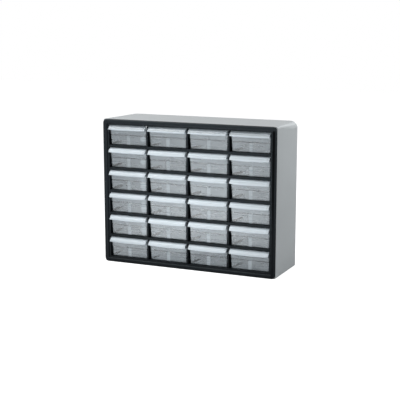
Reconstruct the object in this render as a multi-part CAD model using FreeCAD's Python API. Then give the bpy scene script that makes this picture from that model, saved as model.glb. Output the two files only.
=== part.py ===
import FreeCAD, Part
import math
import os

from FreeCAD import Vector

# Parts bin cabinet: a grey outer shell, a black front bezel, an interlocked
# grid of black shelves and uprights, and a wall of clear sliding drawers.
#
# Units are millimetres. +X runs to the viewer's right, +Y to the back, +Z up.
# The functions work in a build frame: z 0 is the underside, x 0 the middle,
# and y 0 the front face of the bezel. place() then moves each finished solid
# to the part's own frame, whose origin is the bottom centre of the whole box.
# A drawer is built in the frame of one opening: z 0 is the opening's floor.

# Overall size, from the bezel's front face to the back
cabinet_width = 508.0
cabinet_height = 402.0
cabinet_depth = 168.0
columns = 4
rows = 6

# Room between the cabinet's outside and its outermost cells
side_border = 14.0
end_border = 12.0

# Clearances
fit_clearance = 0.15
slide_clearance = 0.25
stop_clearance = 0.4
overrun = 5.0
level_match = 0.01
least_corner = 0.5

# Outer shell
shell_wall = 2.5
shell_top_corner_front = 5.0
shell_top_corner_back = 20.0
shell_bottom_corner = 4.0
shell_front_round = 0.8
shell_back_round = 3.5
back_rim_width = 14.0
back_recess_depth = 0.8
back_recess_corner = 4.0
channel_depth = 4.0
channel_wall = 1.5
channel_end_gap = 22.0
keyhole_inset = 50.8
keyhole_drop = 42.0
keyhole_entry_radius = 5.0
keyhole_slot_radius = 2.5
keyhole_rise = 11.0

# Front bezel
bezel_depth = 6.0
bezel_corner = 11.0
bezel_rim_width = 12.5
bezel_outer_round = 4.5
bezel_inner_round = 4.0
bezel_inner_corner = 1.5
bezel_face_wall = 2.4
bezel_rib_wall = 2.0
step_setback = 5.0
step_thickness = 3.0
spigot_length = 12.0
bead_width = 120.0
bead_height = 0.5
bead_length = 2.0
bead_setback = 7.0

# Openings of the front grid, measured from the middle of a cell's boundary
bar_below = 3.1
bar_above = 3.75
opening_side_margin = 3.0

# Shelves
bar_setback = 4.5
bar_round = 1.0
shelf_thickness = 2.0
shelf_drop = 0.75
runner_width = 3.0
runner_offset = 38.0
runner_rise = 0.2
stop_rib_width = 36.0
stop_rib_thickness = 1.6
stop_rib_height = 3.5

# Partitions and side panels
upright_thickness = 2.0
partition_setback = 6.5
guide_proud = 2.6
guide_height = 2.0
guide_drop = 4.5
ledge_proud = 1.8
ledge_height = 2.0

# Drawer tub
drawer_side_gap = 4.3
drawer_back_space = 30.0
drawer_wall = 1.6
drawer_front_setback = 8.4
drawer_front_lean = 4.0
drawer_rear_lean = 2.4
drawer_side_taper = 2.45
drawer_corner = 2.5
drawer_foot_round = 1.4
drawer_side_drop = 5.65
tab_width = 16.0
tab_clearance = 1.75

# Drawer pull
pull_top_gap = 1.1
pull_proud = 3.0
pull_drop = 14.0
pull_lip = 2.6
pull_bulge = 1.3
pull_wall = 1.8
pull_bow = 1.6
pull_round = 0.8

# Thick band across the drawer's front, and the slotted blocks that hold a divider
band_bottom = 28.5
band_proud = 0.8
band_tuck = 3.0
block_width = 10.4
block_height = 27.2
block_proud = 2.4
divider_slot_width = 2.2

# Worked out from the sizes above
column_pitch = (cabinet_width - 2 * side_border) / columns
row_pitch = (cabinet_height - 2 * end_border) / rows
half_width = cabinet_width / 2
grid_half_width = half_width - side_border
front_plane = (pull_proud - cabinet_depth) / 2
step_back = step_setback + step_thickness
back_inside = cabinet_depth - shell_wall
spigot_back = bezel_depth + spigot_length
spigot_outer = half_width - shell_wall - fit_clearance
spigot_inner = spigot_outer - bezel_rib_wall
plate_front = step_back + fit_clearance
shelf_back = back_inside - channel_depth - fit_clearance
slot_depth = (step_back + shelf_back) / 2
opening_left = opening_side_margin - grid_half_width
opening_floor = end_border + bar_above
opening_ceiling = cabinet_height - end_border - bar_below
opening_height = row_pitch - bar_below - bar_above
drawer_half_top = column_pitch / 2 - drawer_side_gap
drawer_half_foot = drawer_half_top - drawer_side_taper
drawer_rear = shelf_back - drawer_back_space
drawer_underside = runner_rise + slide_clearance
drawer_floor_top = drawer_underside + drawer_wall
drawer_side_top = opening_height - drawer_side_drop
drawer_tab_top = row_pitch - shelf_drop - shelf_thickness - tab_clearance
pull_top = opening_height - pull_top_gap
pull_low = pull_top - pull_drop
guide_level = drawer_side_top - guide_drop


def column_boundary(index):
    """X of the boundary on the left of column index, counted from 0."""
    return index * column_pitch - grid_half_width


def column_centre(index):
    """X of the middle of column index."""
    return column_boundary(index) + column_pitch / 2


def row_boundary(index):
    """Z of the boundary below row index, counted from 0 at the bottom."""
    return end_border + index * row_pitch


def shrunk(corner, wall):
    """The corner radius that is left inside a wall."""
    return max(corner - wall, least_corner)


def block(x_pair, y_pair, z_pair):
    """A box between two X, two Y and two Z levels, each pair in any order."""
    x_0, x_1 = sorted(x_pair)
    y_0, y_1 = sorted(y_pair)
    z_0, z_1 = sorted(z_pair)
    return Part.makeBox(x_1 - x_0, y_1 - y_0, z_1 - z_0, Vector(x_0, y_0, z_0))


def inset_prism(inset, y_0, y_1, corner):
    """A rounded block from y_0 to y_1, an equal inset from the cabinet's four sides."""
    reach = half_width - inset
    top = cabinet_height - inset
    prism = block((-reach, reach), (y_0, y_1), (inset, top))
    return prism.makeFillet(corner, depthwise_edges(prism, inset) + depthwise_edges(prism, top))


def inset_ring(inset, thickness, y_0, y_1, corner):
    """A rectangular ring, an equal inset from the cabinet's four sides."""
    hole = inset_prism(inset + thickness, y_0 - overrun, y_1 + overrun, shrunk(corner, thickness))
    return inset_prism(inset, y_0, y_1, corner).cut(hole)


def side_prism(points, x_0, x_1):
    """A polygon of (y, z) points pushed from x_0 to x_1."""
    ring = [Vector(x_0, y, z) for y, z in points]
    face = Part.Face(Part.makePolygon(ring + ring[:1]))
    return face.extrude(Vector(x_1 - x_0, 0, 0))


def fused(shapes):
    """All shapes joined into one clean solid."""
    return shapes[0].multiFuse(shapes[1:]).removeSplitter()


def carved(shape, cutters):
    """The shape less every cutter."""
    return shape.cut(Part.makeCompound(cutters))


def edges_at_depth(shape, y):
    """The edges of a shape that lie wholly at one depth."""
    return [edge for edge in shape.Edges
            if abs(edge.BoundBox.YMin - y) < level_match and abs(edge.BoundBox.YMax - y) < level_match]


def edges_at_height(shape, z):
    """The edges of a shape that lie wholly at one height."""
    return [edge for edge in shape.Edges
            if abs(edge.BoundBox.ZMin - z) < level_match and abs(edge.BoundBox.ZMax - z) < level_match]


def depthwise_edges(shape, z):
    """The edges of a shape that run from front to back at one height."""
    return [edge for edge in edges_at_height(shape, z) if edge.BoundBox.YLength > level_match]


def shell_block(inset, y_back):
    """The casing's outer form, shrunk by inset. Its top corners grow towards the back."""
    reach = half_width - inset
    top = cabinet_height - inset
    form = block((-reach, reach), (bezel_depth, y_back), (inset, top))
    form = form.makeFillet(shrunk(shell_bottom_corner, inset), depthwise_edges(form, inset))
    return form.makeFillet(shrunk(shell_top_corner_front, inset), shrunk(shell_top_corner_back, inset),
                           depthwise_edges(form, top))


def make_outer_shell():
    """The grey casing: four walls and a back in one moulding, open at the front."""
    outside = shell_block(0, cabinet_depth)
    outside = outside.makeFillet(shell_back_round, edges_at_depth(outside, cabinet_depth))
    outside = outside.makeFillet(shell_front_round, edges_at_depth(outside, bezel_depth))
    shell = outside.cut(shell_block(shell_wall, back_inside))
    cutters = bezel_beads(fit_clearance)
    cutters.append(inset_prism(back_rim_width, cabinet_depth - back_recess_depth,
                               cabinet_depth + overrun, back_recess_corner))
    for side in (-1, 1):
        cutters.append(make_keyhole(side * (half_width - keyhole_inset), cabinet_height - keyhole_drop))
    return fused([carved(shell, cutters)] + back_channels())


def make_keyhole(x, z):
    """A round entry with a narrow slot above it, long enough to pass the back wall."""
    y_0 = back_inside - overrun
    length = shell_wall + 2 * overrun
    backwards = Vector(0, 1, 0)
    entry = Part.makeCylinder(keyhole_entry_radius, length, Vector(x, y_0, z), backwards)
    seat = Part.makeCylinder(keyhole_slot_radius, length, Vector(x, y_0, z + keyhole_rise), backwards)
    slot = block((x - keyhole_slot_radius, x + keyhole_slot_radius), (y_0, y_0 + length),
                 (z, z + keyhole_rise))
    return fused([entry, seat, slot])


def back_channels():
    """Pairs of ribs inside the back wall that hold the rear edges of the uprights."""
    ribs = []
    near = upright_thickness / 2 + fit_clearance
    z_pair = (channel_end_gap, cabinet_height - keyhole_drop - channel_end_gap)
    for index in range(columns + 1):
        x = column_boundary(index)
        for side in (-1, 1):
            x_pair = (x + side * near, x + side * (near + channel_wall))
            ribs.append(block(x_pair, (back_inside - channel_depth, back_inside + shell_wall / 4), z_pair))
    return ribs


def bezel_beads(grow):
    """Low beads on the four walls of the bezel's spigot, all grown by grow.

    With no growth they are the beads themselves. Grown, they cut the pockets
    in the shell that the beads snap into.
    """
    y_0 = spigot_back - bead_setback - grow
    y_pair = (y_0, y_0 + bead_length + 2 * grow)
    half_bead = bead_width / 2 + grow
    middle = cabinet_height / 2
    root = spigot_outer - bezel_rib_wall / 2
    tip = spigot_outer + bead_height + grow
    end_shift = middle - half_width
    beads = []
    for side in (-1, 1):
        beads.append(block((side * root, side * tip), y_pair, (middle - half_bead, middle + half_bead)))
        z_pair = (middle + side * (root + end_shift), middle + side * (tip + end_shift))
        beads.append(block((-half_bead, half_bead), y_pair, z_pair))
    return beads


def bezel_rim():
    """The rounded front rim, hollow from behind."""
    face = inset_prism(0, 0, bezel_depth, bezel_corner)
    face = face.makeFillet(bezel_outer_round, edges_at_depth(face, 0))
    rim = face.cut(inset_prism(bezel_rim_width, -overrun, bezel_depth + overrun, bezel_inner_corner))
    rim = rim.makeFillet(bezel_inner_round, inner_front_edges(rim))
    hollow_inset = half_width - spigot_inner
    hollow_width = bezel_rim_width - bezel_rib_wall - hollow_inset
    return rim.cut(inset_ring(hollow_inset, hollow_width, bezel_face_wall, bezel_depth + overrun,
                              shrunk(bezel_corner, hollow_inset)))


def inner_front_edges(rim):
    """The front edges round the hole in the rim."""
    reach = half_width - bezel_rim_width + level_match
    return [edge for edge in edges_at_depth(rim, 0)
            if edge.BoundBox.XMax < reach and edge.BoundBox.XMin > -reach]


def make_front_bezel():
    """The black rim with its recessed step, and a spigot that plugs into the shell."""
    spigot = inset_ring(half_width - spigot_outer, bezel_rib_wall, bezel_depth - bezel_rib_wall,
                        spigot_back, shrunk(bezel_corner, shell_wall))
    wall_inset = bezel_rim_width - bezel_rib_wall
    hole_wall = inset_ring(wall_inset, bezel_rib_wall, bezel_face_wall + bezel_rib_wall, step_back,
                           bezel_inner_corner + bezel_rib_wall)
    step = inset_prism(bezel_rim_width - bezel_rib_wall / 2, step_setback, step_back, bezel_inner_corner)
    opening = block((opening_left, -opening_left), (-overrun, step_back + overrun),
                    (opening_floor, opening_ceiling))
    return fused([bezel_rim(), spigot, hole_wall, step.cut(opening)] + bezel_beads(0))


def shelf_top(index):
    """Z of the top face of the shelf that carries row index."""
    return row_boundary(index) + bar_above - shelf_drop


def shelf_ribs(index):
    """Two low runners and a rear stop in each cell of a shelf."""
    ribs = []
    root = shelf_top(index) - shelf_thickness / 2
    cell_floor = row_boundary(index) + bar_above
    stop_y = rear_face_at(stop_rib_height) + stop_clearance
    for column in range(columns):
        x = column_centre(column)
        for side in (-1, 1):
            rib_x = x + side * runner_offset
            ribs.append(block((rib_x - runner_width / 2, rib_x + runner_width / 2),
                              (plate_front + drawer_front_lean, stop_y), (root, cell_floor + runner_rise)))
        ribs.append(block((x - stop_rib_width / 2, x + stop_rib_width / 2),
                          (stop_y, stop_y + stop_rib_thickness), (root, cell_floor + stop_rib_height)))
    return ribs


def make_shelf(index):
    """The shelf that carries row index, with its rear half slotted for the partitions.

    Every shelf above the lowest ends in a front bar that closes the gap between two rows.
    """
    top = shelf_top(index)
    z_pair = (top - shelf_thickness, top)
    reach = grid_half_width - upright_thickness / 2 - fit_clearance
    solids = [block((-reach, reach), (plate_front, shelf_back), z_pair)]
    if index > 0:
        bar_half = -opening_left - fit_clearance
        bar = block((-bar_half, bar_half), (bar_setback, step_back),
                    (row_boundary(index) - bar_below, row_boundary(index) + bar_above))
        solids.append(bar.makeFillet(bar_round, edges_at_depth(bar, bar_setback)))
        solids.append(block((-bar_half, bar_half), (bar_setback + bar_round, plate_front + step_thickness),
                            z_pair))
    shelf = fused(solids + shelf_ribs(index))
    half_slot = upright_thickness / 2 + fit_clearance
    slots = []
    for j in range(1, columns):
        x = column_boundary(j)
        slots.append(block((x - half_slot, x + half_slot), (slot_depth, shelf_back + overrun),
                           (top - shelf_thickness - overrun, top + overrun)))
    return carved(shelf, slots)


def upright_outline_points(y_front, top_drop):
    """The (y, z) outline of an upright, stepped to clear the bezel and its spigot."""
    wall_gap = shell_wall + fit_clearance
    spigot_gap = half_width - spigot_inner + fit_clearance
    rear = back_inside - fit_clearance
    behind_spigot = spigot_back + fit_clearance
    top = cabinet_height - top_drop
    points = [(plate_front, spigot_gap), (behind_spigot, spigot_gap), (behind_spigot, wall_gap),
              (rear, wall_gap), (rear, top - wall_gap), (behind_spigot, top - wall_gap),
              (behind_spigot, top - spigot_gap), (plate_front, top - spigot_gap)]
    if y_front < plate_front:
        low = opening_floor + fit_clearance
        high = opening_ceiling - fit_clearance
        points += [(plate_front, high), (y_front, high), (y_front, low), (plate_front, low)]
    return points


def guide_ribs(x, side):
    """Ribs on one face of an upright, just below the rims of each row's drawers."""
    face = x + side * upright_thickness / 2
    ribs = []
    for row in range(rows):
        z = row_boundary(row) + bar_above + guide_level
        ribs.append(block((x, face + side * guide_proud), (step_back + drawer_front_lean, shelf_back),
                          (z - guide_height, z)))
    return ribs


def make_partition(index):
    """An upright between two columns, with its front half slotted for the shelves."""
    x = column_boundary(index)
    half = upright_thickness / 2
    plate = side_prism(upright_outline_points(partition_setback, 0), x - half, x + half)
    panel = fused([plate] + guide_ribs(x, -1) + guide_ribs(x, 1))
    x_pair = (x - half - overrun, x + half + overrun)
    slots = []
    for row in range(rows):
        top = shelf_top(row)
        slots.append(block(x_pair, (partition_setback - overrun, slot_depth + fit_clearance),
                           (top - shelf_thickness - fit_clearance, top + fit_clearance)))
        if row > 0:
            slots.append(block(x_pair, (partition_setback - overrun, plate_front),
                               (row_boundary(row) - bar_below - fit_clearance,
                                row_boundary(row) + bar_above + fit_clearance)))
    return carved(panel, slots)


def shell_corner_drop(x):
    """How far the shell's rear top corner comes down at x, on the inside."""
    radius = shrunk(shell_top_corner_back, shell_wall)
    into_corner = max(x - (half_width - shell_wall - radius), 0)
    return radius - math.sqrt(radius ** 2 - into_corner ** 2)


def make_side_panel(side):
    """The upright beside an outer column, with ledges that carry the shelf ends."""
    x = side * grid_half_width
    half = upright_thickness / 2
    drop = shell_corner_drop(grid_half_width + half)
    plate = side_prism(upright_outline_points(plate_front, drop), x - half, x + half)
    face = x - side * half
    ledges = []
    for row in range(rows):
        z = shelf_top(row) - shelf_thickness - fit_clearance
        ledges.append(block((x, face - side * ledge_proud), (plate_front, shelf_back),
                            (z - ledge_height, z)))
    return fused([plate] + guide_ribs(x, -side) + ledges)


def lean_share_at(z):
    """How much of a drawer's lean and taper lies between height z and the top of its sides."""
    return (drawer_side_top - z) / (drawer_side_top - drawer_underside)


def front_face_at(z):
    """Y of the drawer's leaning front at height z."""
    return drawer_front_setback + drawer_front_lean * lean_share_at(z)


def rear_face_at(z):
    """Y of the drawer's leaning rear at height z."""
    return drawer_rear - drawer_rear_lean * lean_share_at(z)


def half_width_at(z):
    """Half the width of the drawer's tub at height z."""
    return drawer_half_top - drawer_side_taper * lean_share_at(z)


def make_tub(inset, z_0, z_1):
    """The drawer's tapered block between two heights, shrunk by inset on every side."""
    half_0 = half_width_at(z_0) - inset
    half_1 = half_width_at(z_1) - inset
    tub = Part.makeWedge(-half_0, z_0, inset - rear_face_at(z_0), inset - rear_face_at(z_1), -half_1,
                         half_0, z_1, -inset - front_face_at(z_0), -inset - front_face_at(z_1), half_1)
    tub.rotate(Vector(0, 0, 0), Vector(1, 0, 0), math.degrees(math.pi / 2))
    leaning = [edge for edge in tub.Edges if edge.BoundBox.ZLength > level_match]
    return tub.makeFillet(shrunk(drawer_corner, inset), leaning)


def pull_curve():
    """The pull's outer line from the top of the front wall, down to the foot of its nose."""
    crown = Vector(0, drawer_front_setback, pull_top)
    nose = Vector(0, -pull_proud, pull_low + pull_lip)
    slope = (nose - crown).normalize()
    outward = Vector(0, slope.z, -slope.y)
    bulged = (crown + nose) / 2 + outward * pull_bulge
    foot = Vector(0, -pull_proud, pull_low)
    return [Part.Arc(crown, bulged, nose).toShape(), Part.makeLine(nose, foot)]


def pull_slab(points, x_0, x_1):
    """A piece of the pull: its outer line, closed through points, pushed from x_0 to x_1."""
    edges = pull_curve()
    start = edges[-1].Vertexes[-1].Point
    for point in points:
        edges.append(Part.makeLine(start, point))
        start = point
    edges.append(Part.makeLine(start, edges[0].Vertexes[0].Point))
    wire = Part.Wire(edges)
    wire.translate(Vector(x_0, 0, 0))
    return Part.Face(wire).extrude(Vector(x_1 - x_0, 0, 0))


def make_pull():
    """The full-width finger pull: a convex lip that slopes forward and down, with closed ends."""
    behind = drawer_front_setback + drawer_wall
    inside_nose = pull_wall - pull_proud
    under_lip = [Vector(0, inside_nose, pull_low), Vector(0, inside_nose, pull_low + pull_lip),
                 Vector(0, behind, pull_top - 2 * pull_wall), Vector(0, behind, pull_top)]
    cheek_back = front_face_at(pull_low) + drawer_corner + drawer_wall
    cheek = [Vector(0, cheek_back, pull_low), Vector(0, cheek_back, pull_top)]
    solids = [pull_slab(under_lip, -drawer_half_top, drawer_half_top)]
    for side in (-1, 1):
        x_0, x_1 = sorted((side * drawer_half_top, side * (drawer_half_top - pull_wall)))
        solids.append(pull_slab(cheek, x_0, x_1))
    pull = fused(solids)
    pull = pull.makeFillet(pull_round, pull_front_edges(pull))
    wide = drawer_half_top + overrun
    above_sides = block((-wide, wide), (behind, cheek_back + overrun),
                        (drawer_side_top, pull_top + overrun))
    return carved(pull, [above_sides, below_bow()])


def pull_front_edges(pull):
    """The edges of the pull that reach its nose, but for those along its underside."""
    return [edge for edge in pull.Edges
            if edge.BoundBox.YMin < level_match - pull_proud
            and edge.BoundBox.ZMax > pull_low + level_match]


def below_bow():
    """What lies under the pull's bowed lower edge, which hangs lowest in the middle."""
    half = drawer_half_top + overrun
    y = -pull_proud - overrun
    rise = pull_bow * (half / drawer_half_top) ** 2
    left = Vector(-half, y, pull_low + rise)
    right = Vector(half, y, pull_low + rise)
    down = Vector(0, 0, -overrun - rise)
    edges = [Part.Arc(left, Vector(0, y, pull_low), right).toShape(), Part.makeLine(right, right + down),
             Part.makeLine(right + down, left + down), Part.makeLine(left + down, left)]
    return Part.Face(Part.Wire(edges)).extrude(Vector(0, drawer_front_setback - y - fit_clearance, 0))


def make_band():
    """The slightly thicker upper part of the drawer's front, from the pull half way down."""
    top = pull_low + band_tuck
    half = drawer_half_foot - drawer_corner
    points = [(front_face_at(top) - band_proud, top),
              (front_face_at(band_bottom) - band_proud, band_bottom),
              (front_face_at(band_bottom) + drawer_wall / 2, band_bottom),
              (front_face_at(top) + drawer_wall / 2, top)]
    return side_prism(points, -half, half)


def divider_blocks():
    """A slotted block inside the front wall and one inside the rear wall, to hold a divider."""
    foot = drawer_underside + drawer_wall / 2
    front_inside = front_face_at(foot) + drawer_wall
    rear_inside = rear_face_at(foot) - drawer_wall
    front = [(front_face_at(foot) + drawer_wall / 2, foot), (front_inside + block_proud, foot),
             (front_inside + block_proud, block_height),
             (front_face_at(block_height) + drawer_wall / 2, block_height)]
    rear = [(rear_face_at(foot) - drawer_wall / 2, foot), (rear_inside - block_proud, foot),
            (rear_inside - block_proud, block_height),
            (rear_face_at(block_height) - drawer_wall / 2, block_height)]
    half_slot = divider_slot_width / 2
    slot = block((-half_slot, half_slot), (front_inside, rear_inside), (drawer_floor_top, pull_top))
    return [side_prism(points, -block_width / 2, block_width / 2).cut(slot) for points in (front, rear)]


def make_stop_tab():
    """The tab on the rear wall that meets the bar above when the drawer is pulled right out."""
    return block((-tab_width / 2, tab_width / 2), (drawer_rear - drawer_wall, drawer_rear),
                 (drawer_side_top - drawer_wall, drawer_tab_top))


def make_drawer():
    """One clear drawer: a tapered tub with its pull, front band, divider blocks and stop tab."""
    tub = make_tub(0, drawer_underside, drawer_side_top)
    tub = tub.makeFillet(drawer_foot_round, edges_at_height(tub, drawer_underside))
    wall_y = (drawer_front_setback, drawer_front_setback + drawer_wall)
    wall_top = block((-drawer_half_top, drawer_half_top), wall_y, (drawer_side_top - drawer_wall, pull_top))
    outside = fused([tub, wall_top, make_pull(), make_band()])
    hollow = make_tub(drawer_wall, drawer_floor_top, drawer_side_top + overrun)
    wide = drawer_half_top + overrun
    front_top = block((-wide, wide), (-overrun, wall_y[1]), (drawer_side_top, pull_top + overrun))
    return fused([outside.cut(hollow.cut(front_top)), make_stop_tab()] + divider_blocks())


def place(shape):
    """A copy of a solid, moved from the build frame to the part's own frame."""
    moved = shape.copy()
    moved.translate(Vector(0, front_plane, 0))
    return moved


def export(name, shape):
    """Writes one sub-part's solid to its file and prints its state."""
    solid = place(shape.Solids[0])
    solid.exportStep(os.path.join("parts", name + ".step"))
    state = "valid" if solid.isValid() and len(shape.Solids) == 1 else "NOT ONE VALID SOLID"
    print(name, round(solid.Volume), "mm3", state)


def main():
    os.makedirs("parts", exist_ok=True)
    export("outer_shell", make_outer_shell())
    export("front_bezel", make_front_bezel())
    export("base_shelf", make_shelf(0))
    for index in range(1, rows):
        export("row_shelf_%d" % index, make_shelf(index))
    for index in range(1, columns):
        export("partition_%d" % index, make_partition(index))
    export("side_panel_left", make_side_panel(-1))
    export("side_panel_right", make_side_panel(1))
    drawer = make_drawer()
    for row in range(rows):
        for column in range(columns):
            copy = drawer.copy()
            copy.translate(Vector(column_centre(column), 0, row_boundary(row) + bar_above))
            export("drawer_row%d_col%d" % (rows - row, column + 1), copy)


main()
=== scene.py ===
import math
from collections import namedtuple

import bpy
from mathutils import Matrix, Vector


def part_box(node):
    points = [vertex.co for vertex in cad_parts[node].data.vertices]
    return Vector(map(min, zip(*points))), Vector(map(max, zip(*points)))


# A parts bin cabinet: a satin grey shell, a glossy black frame and hazy clear drawers.
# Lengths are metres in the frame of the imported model: +X right, +Y back, +Z up.

# The camera stands to the right of the front and a little above it
camera_place = Vector((1.1255, -2.5131, 0.6955))
camera_yaw = math.radians(24.070)
camera_pitch = math.radians(10.608)
camera_roll = math.radians(0.016)
camera_lens = 91.28
camera_sensor = 36.0

# The floor and the white surroundings
white = (1, 1, 1)
black = (0, 0, 0)
floor_size = 12.0
floor_drop = 0.0002
floor_colour = (0.60, 0.60, 0.60, 1)
floor_glow = 0.90
floor_sheen = 0.60
floor_sheen_step = (-1.10, -2.00)
ambient_strength = 0.25
ambient_colour = (0.97, 0.985, 1.0, 1)
background_strength = 1.0

# Soft lamps, each as place, aim, width, height and watts
lamp_colour = (0.975, 1.0, 1.02)
overhead_lamp = (Vector((-0.52, -0.24, 1.70)), Vector((-0.52, -0.24, 0)), 0.85, 0.26, 4.0)
front_lamp = (Vector((-0.62, -1.00, 1.45)), Vector((-0.62, -1.00, 0)), 0.95, 0.30, 4.6)
left_lamp = (Vector((-0.95, -0.35, 1.45)), Vector((0, 0, 0.30)), 0.8, 0.8, 5.8)
right_lamp = (Vector((0.85, 0.17, 0.52)), Vector((0.25, 0.10, 0.35)), 0.3, 0.3, 2.15)
back_lamp = (Vector((0.80, 2.30, 1.35)), Vector((0, 0, 0.25)), 1.2, 0.9, 10.5)
near_lamp = (Vector((0, -0.54, 0.223)), Vector((0, 0, 0.223)), 0.34, 0.15, 1.45)

# A bright card lying in front of the cabinet, fading at its edges, which shiny faces show
card_place = Vector((-0.235, -0.645, 0.004))
card_turn = math.radians(-22)
card_width = 0.47
card_length = 0.88
card_side_fade = 0.08
card_end_fade = 0.13
card_glow = 1.15
card_layers = 3
card_layer_gap = 0.002

# In the plastics a noise is its scale, its detail and for some its roughness. A bump is its
# height and its strength. A step is where a smooth change starts and where it ends.

# The shell: a cloudy grey with flecks and grain, rubbed lighter and smoother along its edges
shell_grey = (0.462, 0.482, 0.488)
shell_sheen = (0.80, 0.97, 1.0)
shell_cloud_noise = (9.0, 3.0)
shell_cloud_shades = (0.955, 1.045)
shell_fleck_noise = (900.0, 2.0)
shell_fleck_share = 0.10
shell_fleck_shade = 1.25
shell_grain_noise = (2600.0, 1.0)
shell_rub_noise = (60.0, 4.0, 0.7)
shell_rub_patch_step = (0.42, 0.62)
shell_rub_edge_step = (0.0035, 0.0004)
shell_rub_share = 0.28
shell_rub_shade = 1.35
shell_roughness = 0.37
shell_cloud_roughness = 0.10
shell_rub_polish = 0.12
shell_grain_bump = (0.00006, 0.5)
shell_fleck_bump = (0.00010, 0.35)
shell_ior = 1.5
shell_specular = 0.3

# The frame: black with a soft orange peel, dust on what faces up, and painted shade that darkens it low
# down and in the recess
frame_black = (0.0160, 0.0195, 0.0230)
frame_sheen = (0.87, 0.96, 1.0)
frame_cloud_noise = (14.0, 3.0)
frame_cloud_shades = (0.8, 1.25)
frame_peel_noise = (260.0, 2.0)
frame_grain_noise = (1900.0, 1.0)
frame_dust_noise = (420.0, 5.0, 0.75)
frame_dust_patch_step = (0.45, 0.75)
frame_dust_slope_step = (0.2, 0.9)
frame_dust_share = 0.10
frame_dust_shade = 0.6
# Painted shade, low down and in the recess
frame_low_step = (0.20, 0.02)
frame_low_share = 0.5
frame_recess_step = (0.0065, 0.0120)
frame_recess_shade = 0.55
frame_roughness = 0.24
frame_cloud_roughness = 0.14
frame_dust_roughness = 0.2
frame_peel_bump = (0.00010, 0.4)
frame_grain_bump = (0.00003, 0.3)
frame_ior = 1.55
frame_specular = 0.11
bezel_specular = 0.15

# The shade on the bezel's right jamb: inward from its outer edge, down from its top, up from the floor
jamb_start_step = (0.0032, 0.0048)
jamb_end_step = (0.0127, 0.0103)
jamb_top_step = (0.009, 0.013)
jamb_rise_step = (0.010, 0.25)
jamb_share = 0.85
jamb_low_share = 0.425

# The drawers: clear, with a haze that flows along the moulding
drawer_white = (0.655, 0.72, 0.765)
drawer_tint = (0.93, 0.95, 0.96)
drawer_flow_stretch = (14.0, 14.0, 260.0)
drawer_flow_noise = (1.0, 3.0, 0.6)
drawer_cloud_noise = (26.0, 2.0)
drawer_cloud_shade = 0.97
drawer_peel_noise = (150.0, 2.0)
drawer_roughness = 0.22
drawer_flow_roughness = 0.12
drawer_peel_bump = (0.00010, 0.03)
drawer_flow_bump = (0.00006, 0.05)
drawer_ior = 1.57
mirror_share = 0.12
mirror_power = 5.0
facing_blend = 0.5

# How much of the light the clear plastic scatters, and how much the haze varies, with painted light in the
# block's extra haze and in the front's highlight
wall_haze = 0.20
inner_haze = 0.12
pull_haze = 0.49
# The block is milky where it is thick; its extra haze in the lower rows is painted light
block_haze_low = 0.30
block_haze_top = 0.19
band_haze = 0.05
painted_highlight_haze = 0.25
flow_haze = 0.07
cloud_haze = 0.10
own_haze = 0.05

# Shares of the pull's haze at its right end, under the rim of the top row, at its crown and in the low
# row: painted shade at the end, under the rim and in the low row, and painted light at the crown
pull_end_shade_share = 0.70
rim_shadow_loss = 0.40
crown_light_gain = 0.45
low_row_shade_share = 0.80

# Rows count up from 0 at the bottom, and columns from 0 at the left. Borders lie half way between.
top_row = 5
half_way = 0.5
row_fade = 0.1

# Places on a drawer: across from its middle, height over its foot, depth behind its pull
cell_margin = 0.001
front_step = (0.0185, 0.0170)
inside_step = (0.0185, 0.0200)
pull_height_step = (0.0385, 0.0405)
pull_depth_step = (0.0125, 0.0110)
pull_end_step = (0.0475, 0.0500)
rim_step = (0.0435, 0.0462)
crown_step = (0.0470, 0.0500)
block_side_step = (0.0053, 0.0046)
block_top_step = (0.0262, 0.0252)
fold_height = 0.0270
band_fade = 0.0010

# The painted highlight on the first column's fronts: a spot in the upper rows, and tall in the others
highlight_across = 0.0445
highlight_height = 0.0185
highlight_reach = 0.011
highlight_tall_reach = 0.021
highlight_spot_reach = 0.010
highlight_spot_row = 4

# The painted shadow line along the fold, and the painted shade streak that rises to the right, steeper in
# the lower rows
line_step = (0.0022, 0.0003)
line_shadow_loss = 0.20
streak_foot_across = -0.052
streak_foot_height = 0.0025
streak_slope_low = 0.48
streak_slope_top = 0.25
streak_step = (0.0046, 0.0)
streak_left_step = (-0.054, -0.044)
streak_right_step = (-0.018, -0.030)
streak_shade_loss = 0.48
streak_shade_loss_outer = 0.22

Cell = namedtuple("Cell", "across height depth column row")


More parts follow.
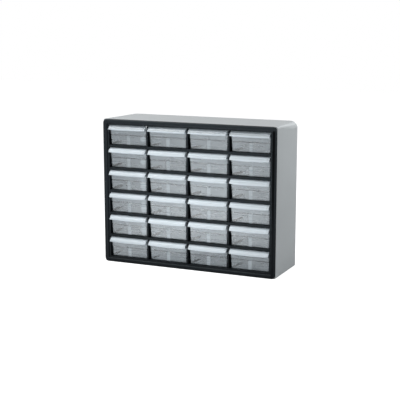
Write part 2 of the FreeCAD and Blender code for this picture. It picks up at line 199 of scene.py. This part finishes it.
class Nodes:
    """A node tree with short calls to add nodes and join them."""

    # Sockets of a colour mix: its factor, its two colours and the colour it gives
    mix_factor = 0
    mix_first = 6
    mix_second = 7
    mix_result = 2

    # The value that a noise varies about
    noise_middle = 0.5

    def __init__(self, tree):
        self.tree = tree
        tree.nodes.clear()

    def feed(self, socket, value):
        """Joins value to the socket, or sets it there if it is a plain number, colour or vector."""
        if isinstance(value, bpy.types.NodeSocket):
            self.tree.links.new(value, socket)
        elif hasattr(value, "__len__") and len(socket.default_value) == len(value) + 1:
            socket.default_value = (*value, 1)
        else:
            socket.default_value = value

    def add(self, kind, inputs=None, **settings):
        """A new node with its settings, and with its inputs set or joined by name or number."""
        node = self.tree.nodes.new(kind)
        for name, value in settings.items():
            setattr(node, name, value)
        for name, value in (inputs or {}).items():
            self.feed(node.inputs[name], value)
        return node

    def math(self, operation, *values, clamp=False):
        node = self.add("ShaderNodeMath", operation=operation, use_clamp=clamp)
        for socket, value in zip(node.inputs, values):
            self.feed(socket, value)
        return node.outputs[0]

    def vector(self, operation, *values):
        node = self.add("ShaderNodeVectorMath", operation=operation)
        for socket, value in zip(node.inputs, values):
            self.feed(socket, value)
        return node.outputs[0]

    def combined(self, x, y, z):
        return self.add("ShaderNodeCombineXYZ", {"X": x, "Y": y, "Z": z}).outputs[0]

    def product(self, first, *others):
        for other in others:
            first = self.math("MULTIPLY", first, other)
        return first

    def more(self, base, value, share):
        """base and a share of value."""
        return self.math("ADD", base, self.math("MULTIPLY", value, share))

    def varied(self, base, noise, amount, clamp=False):
        """base moved up and down by a noise that runs from 0 to 1."""
        offset = self.math("SUBTRACT", noise, self.noise_middle)
        return self.math("ADD", base, self.math("MULTIPLY", offset, amount), clamp=clamp)

    def distance(self, value, middle):
        return self.math("ABSOLUTE", self.math("SUBTRACT", value, middle))

    def ramp(self, value, low, high, start=0.0, end=1.0):
        """A smooth step from start to end as value goes from low to high."""
        inputs = {"Value": value, "From Min": low, "From Max": high, "To Min": start, "To Max": end}
        node = self.add("ShaderNodeMapRange", inputs, interpolation_type="SMOOTHSTEP")
        return node.outputs[0]

    def noise(self, place, scale, detail=2.0, roughness=0.5):
        inputs = {"Vector": place, "Scale": scale, "Detail": detail, "Roughness": roughness}
        return self.add("ShaderNodeTexNoise", inputs).outputs["Fac"]

    def mixed(self, share, first, second):
        """A colour that share takes from first to second."""
        node = self.add("ShaderNodeMix", data_type="RGBA")
        self.feed(node.inputs[self.mix_factor], share)
        self.feed(node.inputs[self.mix_first], first)
        self.feed(node.inputs[self.mix_second], second)
        return node.outputs[self.mix_result]

    def bump(self, height, distance, strength, normal=None):
        """A normal tilted by the height, on top of another normal where one is given."""
        inputs = {"Height": height, "Distance": distance, "Strength": strength}
        if normal is not None:
            inputs["Normal"] = normal
        return self.add("ShaderNodeBump", inputs).outputs[0]

    def shader_mix(self, share, first, second):
        """A shader that share takes from first to second."""
        inputs = {0: share, 1: first.outputs[0], 2: second.outputs[0]}
        return self.add("ShaderNodeMixShader", inputs)

    def surface(self, shader):
        self.add("ShaderNodeOutputMaterial", {"Surface": shader.outputs[0]})


def scaled(colour, factor):
    """The colour with each of its parts times the factor."""
    return tuple(factor * part for part in colour)


def new_material(name):
    """A new material and its empty node tree."""
    material = bpy.data.materials.new(name)
    material.use_nodes = True
    return material, Nodes(material.node_tree)


def own_place(nodes):
    """The point on the piece, in the frame at rest, and its three parts."""
    place = nodes.add("ShaderNodeTexCoord").outputs["Object"]
    split = nodes.add("ShaderNodeSeparateXYZ", {"Vector": place})
    return place, split.outputs


def edge_distance(nodes, parts, low, high):
    """How far a point on a box-shaped piece is from its nearest long edge."""
    gaps = []
    for part, start, end in zip(parts, low, high):
        from_middle = nodes.distance(part, (start + end) / 2)
        gaps.append(nodes.math("SUBTRACT", (end - start) / 2, from_middle))
    smaller = nodes.math("MINIMUM", gaps[0], gaps[1])
    larger = nodes.math("MAXIMUM", gaps[0], gaps[1])
    return nodes.math("MAXIMUM", smaller, nodes.math("MINIMUM", larger, gaps[2]))


def shell_plastic():
    """Satin silver-grey plastic with a fine moulded grain, rubbed a little along its edges."""
    material, nodes = new_material("shell_plastic_look")
    place, parts = own_place(nodes)
    low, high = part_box("outer_shell")
    cloud = nodes.noise(place, *shell_cloud_noise)
    fleck = nodes.noise(place, *shell_fleck_noise)
    grain = nodes.noise(place, *shell_grain_noise)
    patches = nodes.noise(place, *shell_rub_noise)
    edge = edge_distance(nodes, parts, low, high)
    rub = nodes.product(nodes.ramp(edge, *shell_rub_edge_step), nodes.ramp(patches, *shell_rub_patch_step))

    dark_shade, light_shade = shell_cloud_shades
    colour = nodes.mixed(cloud, scaled(shell_grey, dark_shade), scaled(shell_grey, light_shade))
    flecked = nodes.product(fleck, shell_fleck_share)
    colour = nodes.mixed(flecked, colour, scaled(shell_grey, shell_fleck_shade))
    rubbed = nodes.product(rub, shell_rub_share)
    colour = nodes.mixed(rubbed, colour, scaled(shell_grey, shell_rub_shade))

    roughness = nodes.more(shell_roughness, cloud, shell_cloud_roughness)
    roughness = nodes.math("SUBTRACT", roughness, nodes.product(rub, shell_rub_polish))
    normal = nodes.bump(grain, *shell_grain_bump)
    normal = nodes.bump(fleck, *shell_fleck_bump, normal)
    inputs = {"Base Color": colour, "Roughness": roughness, "Normal": normal, "IOR": shell_ior,
              "Specular IOR Level": shell_specular, "Specular Tint": shell_sheen}
    nodes.surface(nodes.add("ShaderNodeBsdfPrincipled", inputs))
    return material


def jamb_shade(nodes, parts):
    """How far the inner face of the bezel's right jamb, turned from the light, lies in shade."""
    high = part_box("front_bezel")[1]
    inward = nodes.math("SUBTRACT", high.x, parts[0])
    top_start, top_end = jamb_top_step
    past_start = nodes.ramp(inward, *jamb_start_step)
    before_end = nodes.ramp(inward, *jamb_end_step)
    under_top = nodes.ramp(parts[2], high.z - top_start, high.z - top_end)
    share = nodes.ramp(parts[2], *jamb_rise_step, jamb_low_share, jamb_share)
    return nodes.product(past_start, before_end, under_top, share)


def frame_dust(nodes, place):
    """How much dust lies on a point, in patches on what faces up."""
    patches = nodes.noise(place, *frame_dust_noise)
    facing = nodes.add("ShaderNodeNewGeometry").outputs["Normal"]
    upward = nodes.add("ShaderNodeSeparateXYZ", {"Vector": facing}).outputs[2]
    return nodes.product(nodes.ramp(upward, *frame_dust_slope_step),
                         nodes.ramp(patches, *frame_dust_patch_step))


def frame_colour(nodes, parts, cloud, dust):
    """Cloudy black, greyed by dust, with painted shade that darkens it near the floor and behind the
    bezel's step.
    """
    dark_shade, light_shade = frame_cloud_shades
    colour = nodes.mixed(cloud, scaled(frame_black, dark_shade), scaled(frame_black, light_shade))
    dusty = nodes.product(dust, frame_dust_share)
    colour = nodes.mixed(dusty, colour, scaled(shell_grey, frame_dust_shade))
    # Painted shade: darker towards the floor
    painted_low_shade = nodes.ramp(parts[2], *frame_low_step, 0.0, frame_low_share)
    colour = nodes.mixed(painted_low_shade, colour, black)
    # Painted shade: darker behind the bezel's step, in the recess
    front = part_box("front_bezel")[0].y
    recess_start, recess_end = frame_recess_step
    painted_recess_shade = nodes.ramp(parts[1], front + recess_start, front + recess_end)
    return nodes.mixed(painted_recess_shade, colour, scaled(frame_black, frame_recess_shade))


def frame_plastic(on_bezel):
    """Semi-gloss black plastic with a soft orange peel, a little dust and painted shade."""
    material, nodes = new_material("bezel_plastic_look" if on_bezel else "frame_plastic_look")
    place, parts = own_place(nodes)
    cloud = nodes.noise(place, *frame_cloud_noise)
    peel = nodes.noise(place, *frame_peel_noise)
    grain = nodes.noise(place, *frame_grain_noise)
    dust = frame_dust(nodes, place)
    colour = frame_colour(nodes, parts, cloud, dust)
    roughness = nodes.more(frame_roughness, cloud, frame_cloud_roughness)
    roughness = nodes.more(roughness, dust, frame_dust_roughness)
    normal = nodes.bump(peel, *frame_peel_bump)
    normal = nodes.bump(grain, *frame_grain_bump, normal)
    specular = frame_specular
    if on_bezel:
        shade = jamb_shade(nodes, parts)
        colour = nodes.mixed(shade, colour, black)
        specular = nodes.product(nodes.math("SUBTRACT", 1.0, shade), bezel_specular)
    inputs = {"Base Color": colour, "Roughness": roughness, "Normal": normal, "IOR": frame_ior,
              "Specular IOR Level": specular, "Specular Tint": frame_sheen}
    nodes.surface(nodes.add("ShaderNodeBsdfPrincipled", inputs))
    return material


def drawer_cell(nodes, parts):
    """Where a point is in its own drawer, and its column and row from the lower left drawer."""
    first_low, first_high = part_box("drawer_row6_col1")
    column_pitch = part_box("drawer_row6_col2")[0].x - first_low.x
    row_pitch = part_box("drawer_row5_col1")[0].z - first_low.z
    middle = (first_low.x + first_high.x) / 2
    shifted = nodes.math("SUBTRACT", parts[0], middle - column_pitch / 2)
    lifted = nodes.math("SUBTRACT", parts[2], first_low.z - cell_margin)
    in_column = nodes.math("WRAP", shifted, column_pitch, 0.0)
    in_row = nodes.math("WRAP", lifted, row_pitch, 0.0)
    return Cell(across=nodes.math("SUBTRACT", in_column, column_pitch / 2),
                height=nodes.math("SUBTRACT", in_row, cell_margin),
                depth=nodes.math("SUBTRACT", parts[1], first_low.y),
                column=nodes.math("FLOOR", nodes.math("DIVIDE", shifted, column_pitch)),
                row=nodes.math("FLOOR", nodes.math("DIVIDE", lifted, row_pitch)))


def from_row(nodes, cell, first, below, above):
    """below in the rows under the first, and above in it and over it."""
    border = first - half_way
    return nodes.ramp(cell.row, border - row_fade, border + row_fade, below, above)


def painted_front_highlight(nodes, cell):
    """Painted highlight: haze added near the right end of the first column's fronts, except in the low
    row.
    """
    reach = from_row(nodes, cell, highlight_spot_row, highlight_tall_reach, highlight_spot_reach)
    up = nodes.math("DIVIDE", nodes.math("SUBTRACT", cell.height, highlight_height), reach)
    aside = nodes.math("DIVIDE", nodes.math("SUBTRACT", cell.across, highlight_across), highlight_reach)
    squared = nodes.math("ADD", nodes.product(up, up), nodes.product(aside, aside))
    painted_highlight = nodes.ramp(squared, 1.0, 0.0, 0.0, painted_highlight_haze)
    in_first_column = nodes.math("LESS_THAN", cell.column, half_way)
    over_low_row = nodes.math("GREATER_THAN", cell.row, half_way)
    return nodes.product(painted_highlight, in_first_column, over_low_row, nodes.ramp(cell.depth, *front_step))


def painted_shade_streak(nodes, cell):
    """Painted shade: haze missing in a streak at the lower left of a drawer's front, less in the outer
    rows.
    """
    slope = nodes.ramp(cell.row, 0.0, top_row, streak_slope_low, streak_slope_top)
    along = nodes.math("SUBTRACT", cell.across, streak_foot_across)
    rise = nodes.math("MULTIPLY_ADD", along, slope, streak_foot_height)
    from_middle_row = nodes.distance(cell.row, top_row / 2)
    in_outer_row = nodes.math("GREATER_THAN", from_middle_row, top_row / 2 - half_way)
    loss = nodes.ramp(in_outer_row, 0.0, 1.0, streak_shade_loss, streak_shade_loss_outer)
    shade_streak = nodes.ramp(nodes.distance(cell.height, rise), *streak_step, 0.0, loss)
    return nodes.product(shade_streak, nodes.ramp(cell.across, *streak_left_step),
                         nodes.ramp(cell.across, *streak_right_step))


def painted_front_shade(nodes, cell):
    """Painted shade: haze missing on a drawer's front, as a shadow line along the fold under its band and
    in a streak.
    """
    fold_shadow = nodes.ramp(nodes.distance(cell.height, fold_height), *line_step, 0.0, line_shadow_loss)
    on_front = nodes.ramp(cell.depth, *front_step)
    return nodes.product(on_front, nodes.math("ADD", fold_shadow, painted_shade_streak(nodes, cell)))


def pull_thickness(nodes, cell):
    """How much milky plastic a point on the pull shows, less for painted shade at its right end, under the
    top row's rim and in the low row, and more for painted light at its crown.
    """
    on_pull = nodes.product(nodes.ramp(cell.height, *pull_height_step),
                            nodes.ramp(cell.depth, *pull_depth_step))
    # Painted shade towards the pull's right end
    painted_end_shade = nodes.ramp(cell.across, *pull_end_step, 1.0, pull_end_shade_share)
    # Painted shadow of the bezel's rim on the top row's pulls, which also takes away the crown's painted
    # light there
    in_top_row = nodes.math("GREATER_THAN", cell.row, top_row - half_way)
    painted_rim_shadow = nodes.product(in_top_row, nodes.ramp(cell.height, *rim_step))
    rim_shadow_share = nodes.math("MULTIPLY_ADD", painted_rim_shadow, -rim_shadow_loss - crown_light_gain, 1.0)
    # Painted light on the crown
    painted_crown_light = nodes.ramp(cell.height, *crown_step, 0.0, crown_light_gain)
    # Painted shade on the pulls of the low row
    over_low_row = from_row(nodes, cell, 1, low_row_shade_share, 1.0)
    return nodes.product(on_pull, painted_end_shade, nodes.math("ADD", rim_shadow_share, painted_crown_light), over_low_row)


def block_haze(nodes, cell):
    """Haze of the thick block in the middle of the front, with painted light that makes it more in the
    lower rows.
    """
    on_block = nodes.product(nodes.ramp(nodes.math("ABSOLUTE", cell.across), *block_side_step),
                             nodes.ramp(cell.height, *block_top_step))
    return nodes.product(on_block, nodes.ramp(cell.row, 0.0, top_row, block_haze_low, block_haze_top))


def drawer_haze(nodes, cell, flow, cloud, own_random):
    """The share of the light that the plastic scatters, by the thickness at the point, with painted light
    and painted shade added by place and row.
    """
    haze = nodes.ramp(cell.depth, *inside_step, wall_haze, inner_haze)
    haze = nodes.more(haze, pull_thickness(nodes, cell), pull_haze)
    haze = nodes.math("ADD", haze, block_haze(nodes, cell))
    band = nodes.ramp(cell.height, fold_height - band_fade, fold_height + band_fade, 0.0, band_haze)
    haze = nodes.math("ADD", haze, band)
    haze = nodes.math("SUBTRACT", haze, painted_front_shade(nodes, cell))
    haze = nodes.math("ADD", haze, painted_front_highlight(nodes, cell))
    haze = nodes.varied(haze, flow, flow_haze)
    haze = nodes.varied(haze, cloud, cloud_haze)
    return nodes.varied(haze, own_random, own_haze, clamp=True)


def clear_shader(nodes, roughness, normal):
    """Clear plastic: it mirrors a little face on, and all the light at a flat angle, on both sides."""
    through = nodes.add("ShaderNodeBsdfTransparent", {"Color": drawer_tint})
    gloss = nodes.add("ShaderNodeBsdfGlossy", {"Color": white, "Roughness": roughness, "Normal": normal})
    tilt = nodes.add("ShaderNodeLayerWeight", {"Blend": facing_blend, "Normal": normal}).outputs["Facing"]
    edge_on = nodes.math("POWER", tilt, mirror_power)
    mirror = nodes.math("MULTIPLY_ADD", edge_on, 1.0 - mirror_share, mirror_share)
    return nodes.shader_mix(mirror, through, gloss)


def drawer_plastic():
    """Clear moulded plastic with a slight haze, milkier where it is thick, and with painted light and
    shade in the haze.
    """
    material, nodes = new_material("drawer_plastic_look")
    place, parts = own_place(nodes)
    cell = drawer_cell(nodes, parts)
    own = nodes.combined(cell.column, cell.row, 0.0)
    own_random = nodes.add("ShaderNodeTexWhiteNoise", {"Vector": own}).outputs["Value"]
    moved = nodes.vector("ADD", place, nodes.combined(own_random, own_random, 0.0))
    flow = nodes.noise(nodes.vector("MULTIPLY", moved, drawer_flow_stretch), *drawer_flow_noise)
    cloud = nodes.noise(moved, *drawer_cloud_noise)
    peel = nodes.noise(moved, *drawer_peel_noise)
    colour = nodes.mixed(cloud, scaled(drawer_white, drawer_cloud_shade), drawer_white)
    roughness = nodes.more(drawer_roughness, flow, drawer_flow_roughness)
    normal = nodes.bump(peel, *drawer_peel_bump)
    normal = nodes.bump(flow, *drawer_flow_bump, normal)
    inputs = {"Base Color": colour, "Roughness": roughness, "Normal": normal, "IOR": drawer_ior}
    milky = nodes.add("ShaderNodeBsdfPrincipled", inputs)
    haze = drawer_haze(nodes, cell, flow, cloud, own_random)
    nodes.surface(nodes.shader_mix(haze, clear_shader(nodes, roughness, normal), milky))
    return material


def dress(pieces):
    """Gives every piece of the model its material."""
    shell_look = shell_plastic()
    drawer_look = drawer_plastic()
    frame_look = frame_plastic(on_bezel=False)
    bezel_look = frame_plastic(on_bezel=True)
    for name, piece in pieces.items():
        if name == "outer_shell":
            look, slot = shell_look, "shell_plastic"
        elif name.startswith("drawer_"):
            look, slot = drawer_look, "drawer_plastic"
        elif name == "front_bezel":
            look, slot = bezel_look, "frame_plastic"
        else:
            look, slot = frame_look, "frame_plastic"
        if not piece.material_slots:
            piece.data.materials.append(None)
        for material_slot in piece.material_slots:
            material_slot.link = "OBJECT"
            material_slot.material = look


def make_camera():
    """The camera, turned by its yaw and pitch and then rolled about its view."""
    forward = Vector((-math.sin(camera_yaw) * math.cos(camera_pitch),
                      math.cos(camera_yaw) * math.cos(camera_pitch), -math.sin(camera_pitch)))
    right = forward.cross(Vector((0, 0, 1))).normalized()
    upward = right.cross(forward)
    level = Matrix((right, upward, -forward)).transposed().to_4x4()
    camera = bpy.data.objects.new("camera", bpy.data.cameras.new("camera"))
    camera.data.lens = camera_lens
    camera.data.sensor_width = camera_sensor
    camera.matrix_world = Matrix.Translation(camera_place) @ level @ Matrix.Rotation(camera_roll, 4, "Z")
    bpy.context.scene.collection.objects.link(camera)
    bpy.context.scene.camera = camera


def make_lamp(name, place, width, height, watts):
    """A flat lamp that the camera doesn't see."""
    data = bpy.data.lights.new(name, "AREA")
    data.shape = "RECTANGLE"
    data.size = width
    data.size_y = height
    data.energy = watts
    data.color = lamp_colour
    lamp = bpy.data.objects.new(name, data)
    lamp.location = place
    lamp.visible_camera = False
    bpy.context.scene.collection.objects.link(lamp)
    return lamp


def make_soft_lamp(name, place, aim, width, height, watts):
    """A flat lamp turned to face its aim."""
    lamp = make_lamp(name, place, width, height, watts)
    lamp.rotation_euler = (aim - place).to_track_quat("-Z", "Y").to_euler()
    return lamp


def make_card():
    """Layers of slightly different sizes, so that the card's brightness steps down softly at its edges."""
    for layer in range(card_layers):
        spread = 2 * (layer + 0.5) / card_layers - 1
        width = card_width + 2 * spread * card_side_fade
        length = card_length + 2 * spread * card_end_fade
        watts = math.pi * width * length * card_glow / card_layers
        place = card_place + Vector((0, 0, layer * card_layer_gap))
        card = make_lamp(f"card_layer_{layer + 1}", place, width, length, watts)
        card.rotation_euler = (math.pi, 0, card_turn)
        card.visible_diffuse = False


def seen_directly(nodes):
    """1 for the rays that show the surroundings as they are: the camera's, and those in gloss or glass."""
    path = nodes.add("ShaderNodeLightPath").outputs
    either = nodes.math("MAXIMUM", path["Is Camera Ray"], path["Is Glossy Ray"])
    return nodes.math("MAXIMUM", either, path["Is Transmission Ray"])


def make_world():
    """White surroundings for what is seen directly, and a soft even light for the rest."""
    world = bpy.data.worlds.new("studio")
    world.use_nodes = True
    bpy.context.scene.world = world
    nodes = Nodes(world.node_tree)
    soft = nodes.add("ShaderNodeBackground", {"Color": ambient_colour, "Strength": ambient_strength})
    bright = nodes.add("ShaderNodeBackground", {"Color": white, "Strength": background_strength})
    both = nodes.shader_mix(seen_directly(nodes), soft, bright)
    nodes.add("ShaderNodeOutputWorld", {"Surface": both.outputs[0]})


def make_floor():
    """A pale floor that glows for the camera, and in gloss only from well in front of the cabinet."""
    material, nodes = new_material("floor_look")
    path = nodes.add("ShaderNodeLightPath").outputs
    parts = own_place(nodes)[1]
    seen = nodes.product(path["Is Camera Ray"], floor_glow)
    far = nodes.ramp(parts[1], *floor_sheen_step, 0.0, floor_sheen)
    mirrored = nodes.product(path["Is Glossy Ray"], far)
    plain = nodes.add("ShaderNodeBsdfDiffuse", {"Color": floor_colour})
    strength = nodes.math("ADD", seen, mirrored)
    glow = nodes.add("ShaderNodeEmission", {"Color": white, "Strength": strength})
    nodes.surface(nodes.add("ShaderNodeAddShader", {0: plain.outputs[0], 1: glow.outputs[0]}))
    half = floor_size / 2
    corners = [(-half, -half, -floor_drop), (half, -half, -floor_drop),
               (half, half, -floor_drop), (-half, half, -floor_drop)]
    make_flat("floor", corners, material)


def make_flat(name, corners, material):
    """A flat face with four corners that belongs to the studio, not to the model."""
    mesh = bpy.data.meshes.new(name)
    mesh.from_pydata(corners, [], [(0, 1, 2, 3)])
    mesh.materials.append(material)
    flat = bpy.data.objects.new(name, mesh)
    bpy.context.scene.collection.objects.link(flat)


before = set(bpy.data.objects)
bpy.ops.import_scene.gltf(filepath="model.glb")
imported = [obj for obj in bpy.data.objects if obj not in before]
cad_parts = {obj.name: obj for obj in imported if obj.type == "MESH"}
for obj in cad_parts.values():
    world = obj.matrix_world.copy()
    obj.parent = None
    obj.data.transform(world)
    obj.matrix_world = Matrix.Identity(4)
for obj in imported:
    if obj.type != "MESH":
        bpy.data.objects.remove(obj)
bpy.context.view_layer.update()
bpy.context.scene.view_settings.view_transform = "Standard"
dress(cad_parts)
make_camera()
make_world()
make_floor()
make_soft_lamp("overhead_lamp", *overhead_lamp)
make_soft_lamp("front_lamp", *front_lamp)
make_soft_lamp("left_lamp", *left_lamp)
make_soft_lamp("right_lamp", *right_lamp)
make_soft_lamp("back_lamp", *back_lamp)
make_soft_lamp("near_lamp", *near_lamp).visible_glossy = False
make_card()
